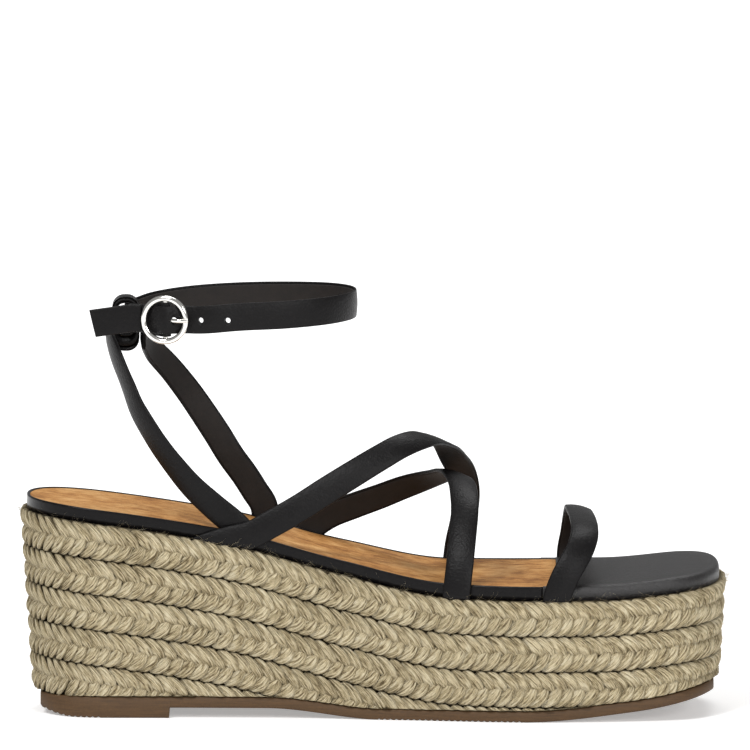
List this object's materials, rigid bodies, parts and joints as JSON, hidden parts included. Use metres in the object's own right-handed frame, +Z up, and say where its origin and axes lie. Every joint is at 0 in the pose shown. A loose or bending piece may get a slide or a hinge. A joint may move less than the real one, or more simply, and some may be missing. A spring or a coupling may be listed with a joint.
{
  "type": "wedge sandal",
  "caption": "Strappy wedge sandal for the right foot: crossed instep straps, toe strap and buckled ankle strap on a braid-wrapped platform wedge.",
  "frame": {"origin": "on the ground, under the middle of the sole's box", "axes": "+X to the toe, +Y to the inner (medial) side of the foot, +Z up"},
  "size_m": [0.2544, 0.0915, 0.1527],
  "materials": {
    "sole_rubber": "matte moulded, fine tread",
    "wedge_foam": "matte",
    "steel": "plain",
    "jute": "braided natural fibre",
    "board": "pressed fibreboard",
    "soft_foam": "open-cell foam",
    "tan_leather": "mottled nubuck",
    "black_leather": "smooth, semi-gloss",
    "black_lining": "matte, fine grain",
    "polished_nickel": "polished"
  },
  "bodies": {
    "shoe": {"outsole": "sole_rubber", "wedge_core": "wedge_foam", "shank": "steel", "jute_braid_1": "jute", "jute_braid_2": "jute", "jute_braid_3": "jute", "jute_braid_4": "jute", "jute_braid_5": "jute", "insole_board": "board", "footbed_foam": "soft_foam", "sock_lining": "tan_leather", "footbed_binding": "black_leather", "toe_cover": "black_leather", "upper_cross_strap": "black_leather", "upper_cross_strap_lining": "black_lining", "lower_cross_strap": "black_leather", "lower_cross_strap_lining": "black_lining", "toe_strap": "black_leather", "toe_strap_lining": "black_lining", "medial_heel_strap": "black_leather", "medial_heel_strap_lining": "black_lining", "lateral_heel_strap": "black_leather", "lateral_heel_strap_lining": "black_lining", "keeper_loop": "black_leather"},
    "ankle_strap": {"ankle_strap": "black_leather", "ankle_strap_lining": "black_lining"},
    "strap_tail": {"strap_tail": "black_leather"},
    "buckle_frame": {"buckle_frame": "polished_nickel"},
    "buckle_prong": {"buckle_prong": "polished_nickel"}
  },
  "joints": [
    {"name": "ankle_swing", "type": "hinge", "parent": "shoe", "child": "ankle_strap", "pos_m": [-0.089, 0, 0.14204], "axis": [0, -1, 0], "range_deg": [-12, 12]},
    {"name": "buckle_rock", "type": "hinge", "parent": "ankle_strap", "child": "buckle_frame", "pos_m": [-0.07431, -0.02705, 0.14394], "axis": [0, 0, 1], "range_deg": [-2.5, 2.5]},
    {"name": "prong_lift", "type": "hinge", "parent": "buckle_frame", "child": "buckle_prong", "pos_m": [-0.07431, -0.02705, 0.14394], "axis": [0, 0, -1], "range_deg": [0, 5]},
    {"name": "tail_bend", "type": "hinge", "parent": "ankle_strap", "child": "strap_tail", "pos_m": [-0.08339, -0.02458, 0.14394], "axis": [0, 0, 1], "range_deg": [0, 35]}
  ]
}
